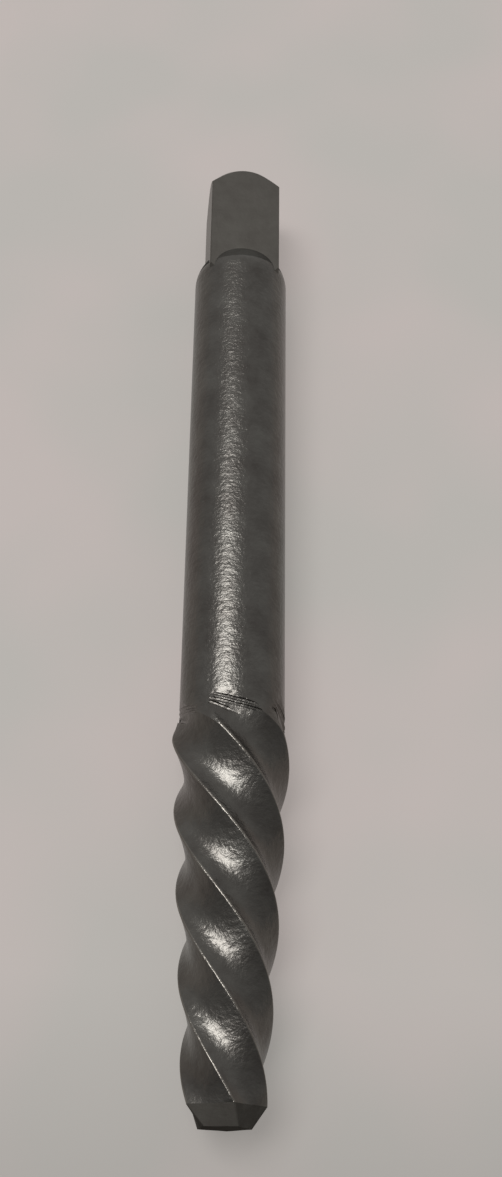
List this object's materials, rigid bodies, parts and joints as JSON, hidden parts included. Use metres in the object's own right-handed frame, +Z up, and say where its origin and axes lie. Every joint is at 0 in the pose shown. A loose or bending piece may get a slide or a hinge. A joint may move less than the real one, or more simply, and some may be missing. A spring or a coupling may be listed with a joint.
{
  "type": "spiral screw extractor",
  "caption": "Left-hand spiral screw extractor in hardened steel, with a driving square, a round shank and a tapered spiral that grips a drilled broken screw.",
  "frame": {"origin": "middle of the footprint of the tool as it comes to rest lying on its side, at the height of its lowest ridge", "axes": "+Y along the bar, from the spiral's tip towards the driving square; +Z up; the square's flats are turned 4 degrees about Y from +X, -X, +Z and -Z, as the tool comes to rest"},
  "size_m": [0.0082, 0.0762, 0.0082],
  "materials": {
    "hardened_steel": "ground and darkened, with worn bright ridges"
  },
  "bodies": {
    "root": {"screw_extractor": "hardened_steel"}
  },
  "joints": []
}
